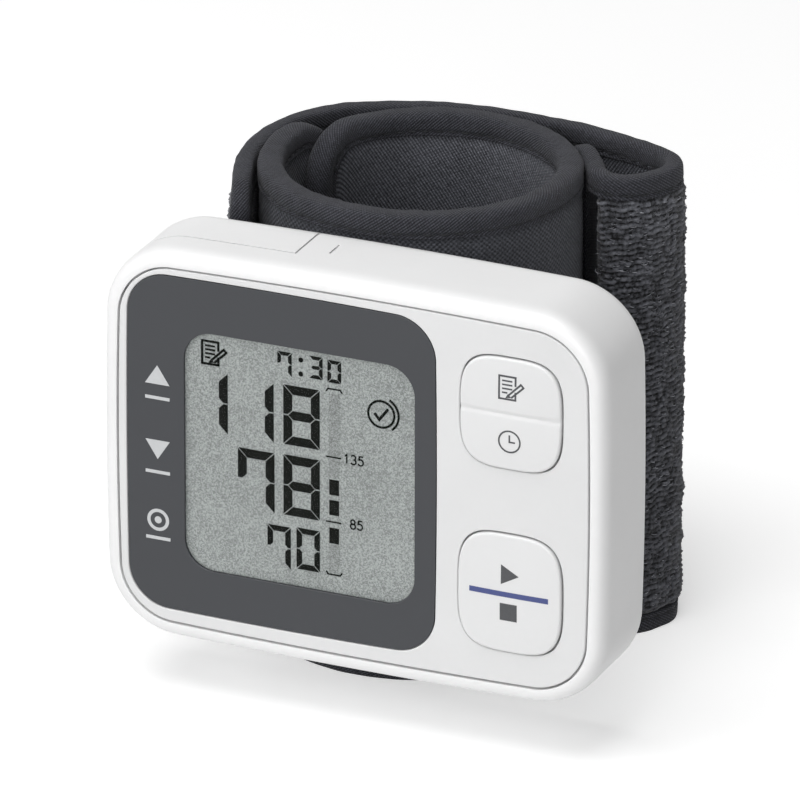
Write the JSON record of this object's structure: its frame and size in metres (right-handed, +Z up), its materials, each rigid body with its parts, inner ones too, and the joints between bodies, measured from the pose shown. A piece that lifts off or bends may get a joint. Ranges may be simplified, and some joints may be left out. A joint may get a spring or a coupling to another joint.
{
  "type": "wrist blood pressure monitor",
  "caption": "Wrist blood pressure monitor: white housing with a digit display and two keys, on a curled fabric cuff with a hook-and-loop strap.",
  "frame": {"origin": "middle of the footprint, on the surface that the cuff stands on", "axes": "+X to the right along the display, +Y back from the display to the cuff, +Z up"},
  "size_m": [0.0776, 0.0664, 0.0716],
  "materials": {
    "shell_white": "white ABS, fine satin",
    "panel_grey_white": "pale grey-white ABS, fine satin",
    "window_charcoal": "charcoal, satin printed plastic",
    "lens_clear": "clear acrylic",
    "lcd_glass": "grey display with dark segments",
    "key_white": "pale grey-white ABS, satin",
    "inner_plastic": "black moulded plastic",
    "silicone": "soft matt silicone",
    "board_green": "green solder mask",
    "motor_can": "drawn metal can",
    "cell_can": "printed sleeve on a metal can",
    "spring_steel": "nickel-plated spring steel",
    "saddle_grey": "dark grey moulded plastic",
    "screw_steel": "zinc-plated steel",
    "cuff_lining": "dark grey brushed nylon",
    "bladder_film": "soft film",
    "curler_sheet": "springy plastic sheet",
    "cuff_nylon": "dark grey woven nylon",
    "binding_twill": "dark grey twill tape",
    "terry_loop": "dark grey looped terry",
    "hook_tape": "black hook tape"
  },
  "bodies": {
    "monitor": {"main_housing": "shell_white", "front_panel": "panel_grey_white", "window_plate": "window_charcoal", "display_lens": "lens_clear", "lcd_panel": "lcd_glass", "lcd_holder": "inner_plastic", "lcd_connector": "silicone", "circuit_board": "board_green", "tact_switch_start": "inner_plastic", "tact_switch_memory": "inner_plastic", "tact_switch_clock": "inner_plastic", "pressure_sensor": "inner_plastic", "air_pump_motor": "motor_can", "air_pump_head": "inner_plastic", "release_valve": "inner_plastic", "air_manifold": "inner_plastic", "air_tube_pump": "silicone", "air_tube_valve": "silicone", "air_tube_sensor": "silicone", "battery_1": "cell_can", "battery_2": "cell_can", "battery_contact_top": "spring_steel", "battery_contact_minus": "spring_steel", "battery_contact_plus": "spring_steel", "battery_spring_1": "spring_steel", "battery_spring_2": "spring_steel", "rear_cover": "shell_white", "cuff_saddle": "saddle_grey", "housing_screw_1": "screw_steel", "housing_screw_2": "screw_steel", "housing_screw_3": "screw_steel", "housing_screw_4": "screw_steel", "saddle_screw_1": "screw_steel", "saddle_screw_2": "screw_steel", "air_nipple": "inner_plastic", "cuff_inner_fabric": "cuff_lining", "air_bladder": "bladder_film", "cuff_curler": "curler_sheet", "cuff_outer_fabric": "cuff_nylon", "cuff_binding": "binding_twill", "strap_web": "cuff_nylon", "strap_pile": "terry_loop", "strap_binding": "binding_twill"},
    "start_stop_key": {"start_stop_button": "key_white"},
    "memory_clock_key": {"memory_clock_rocker": "key_white"},
    "battery_door": {"battery_cover": "shell_white"},
    "strap_tail": {"tail_web": "cuff_nylon", "hook_tab": "hook_tape", "tail_pile": "terry_loop", "tail_binding": "binding_twill"}
  },
  "joints": [
    {"name": "start_stop_press", "type": "slide", "parent": "monitor", "child": "start_stop_key", "axis": [0, 1, 0], "range_m": [0, 0.0004], "stiffness_N_per_m": 1500},
    {"name": "memory_clock_tilt", "type": "hinge", "parent": "monitor", "child": "memory_clock_key", "pos_m": [0.02435, -0.0305, 0.05305], "axis": [1, 0, 0], "range_deg": [-1.4, 1.4], "stiffness_Nm_per_rad": 0.1},
    {"name": "battery_cover_slide", "type": "slide", "parent": "monitor", "child": "battery_door", "axis": [-1, 0, 0], "range_m": [0, 0.03]},
    {"name": "strap_open", "type": "hinge", "parent": "monitor", "child": "strap_tail", "pos_m": [-0.00327, 0.03328, 0.0354], "axis": [0, 0, -1], "range_deg": [0, 100]}
  ]
}
